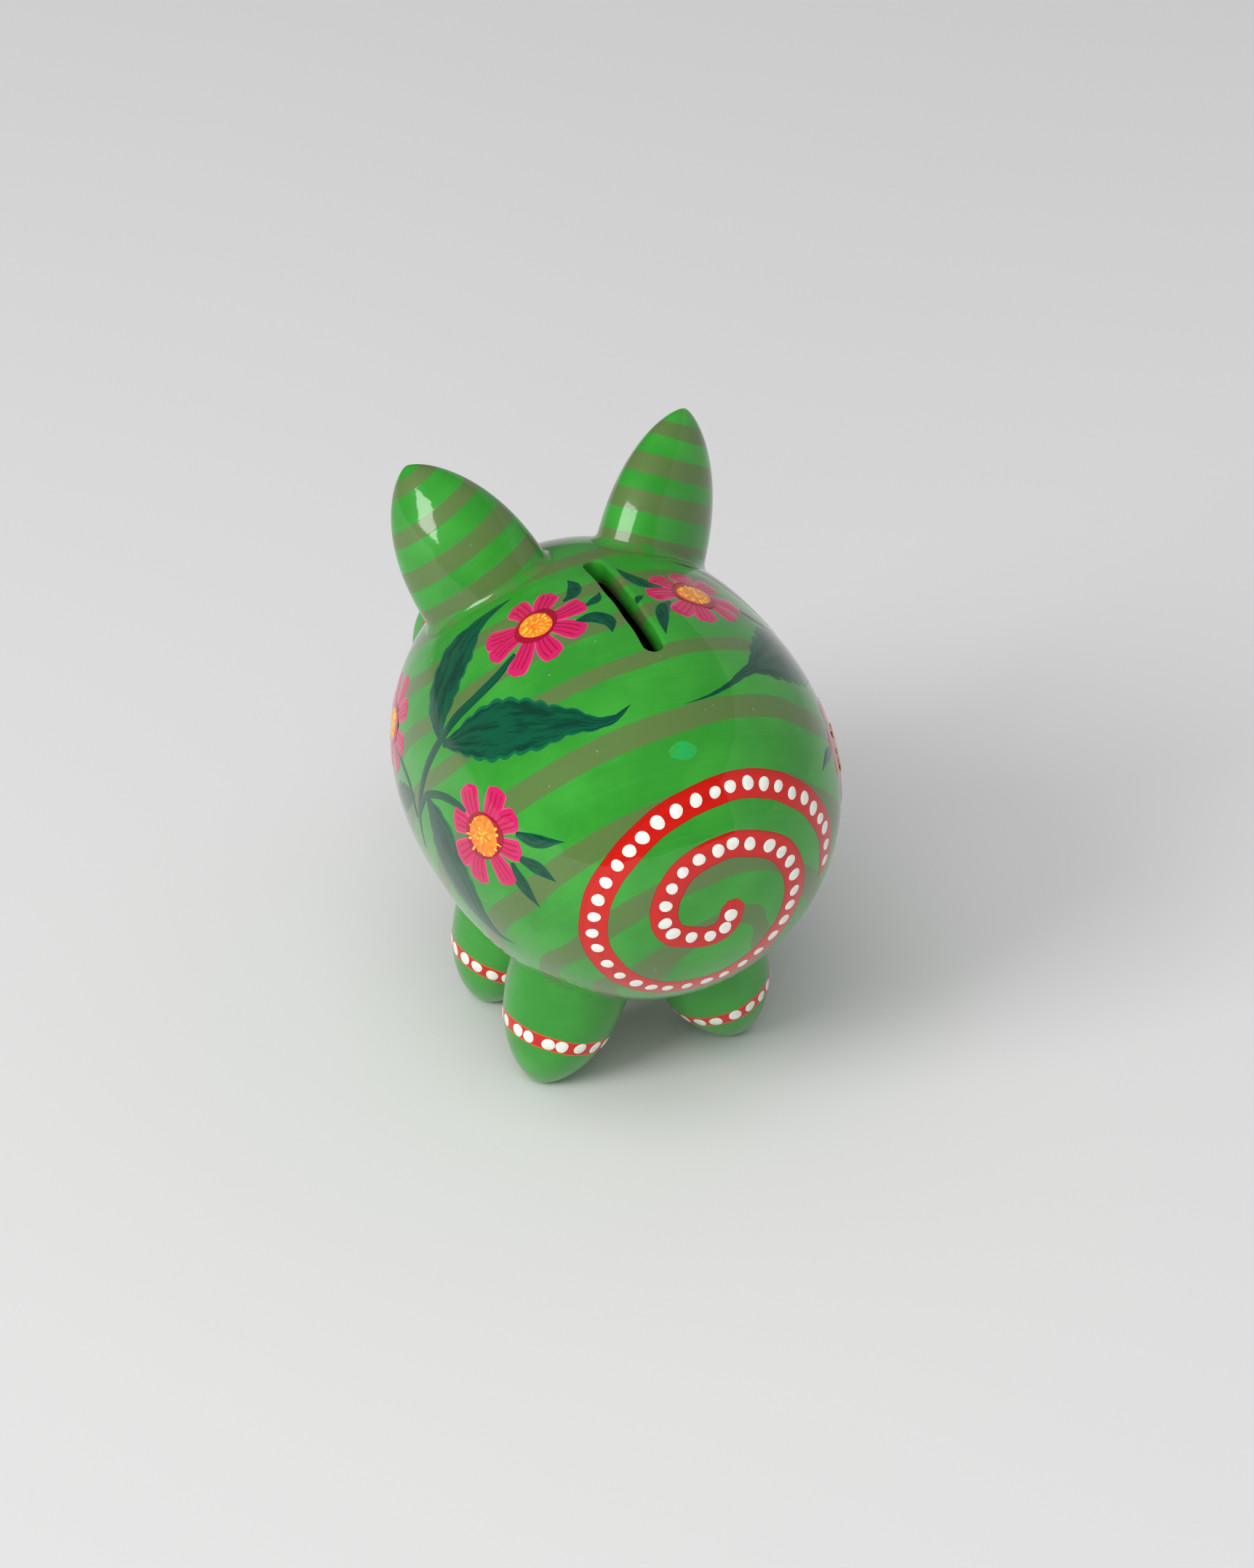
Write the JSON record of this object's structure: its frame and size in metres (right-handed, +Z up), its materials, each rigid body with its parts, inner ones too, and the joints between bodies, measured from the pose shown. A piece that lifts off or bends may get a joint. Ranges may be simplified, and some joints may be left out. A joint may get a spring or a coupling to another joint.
{
  "type": "pig-shaped money box",
  "caption": "Painted wooden pig money box with a coin slot along the back and a snout that pulls out as the stopper.",
  "frame": {"origin": "on the floor plane, under the middle of the overall length and width", "axes": "+Z up, -Y the way the snout points, +X the pig's own left side"},
  "size_m": [0.1, 0.1432, 0.1449],
  "materials": {
    "painted_wood": "hand painted, glossy varnish",
    "bare_wood": "bare, turned dowel"
  },
  "bodies": {
    "pig": {"body_front": "painted_wood", "body_rear": "painted_wood", "ear_left": "painted_wood", "ear_right": "painted_wood", "leg_front_left": "painted_wood", "leg_front_right": "painted_wood", "leg_rear_left": "painted_wood", "leg_rear_right": "painted_wood", "ear_dowel_left": "bare_wood", "ear_dowel_right": "bare_wood", "leg_dowel_front_left": "bare_wood", "leg_dowel_front_right": "bare_wood", "leg_dowel_rear_left": "bare_wood", "leg_dowel_rear_right": "bare_wood"},
    "stopper": {"snout": "painted_wood"}
  },
  "joints": [
    {"name": "stopper_pull", "type": "slide", "parent": "pig", "child": "stopper", "axis": [0, -1, 0], "range_m": [0, 0.035]}
  ]
}
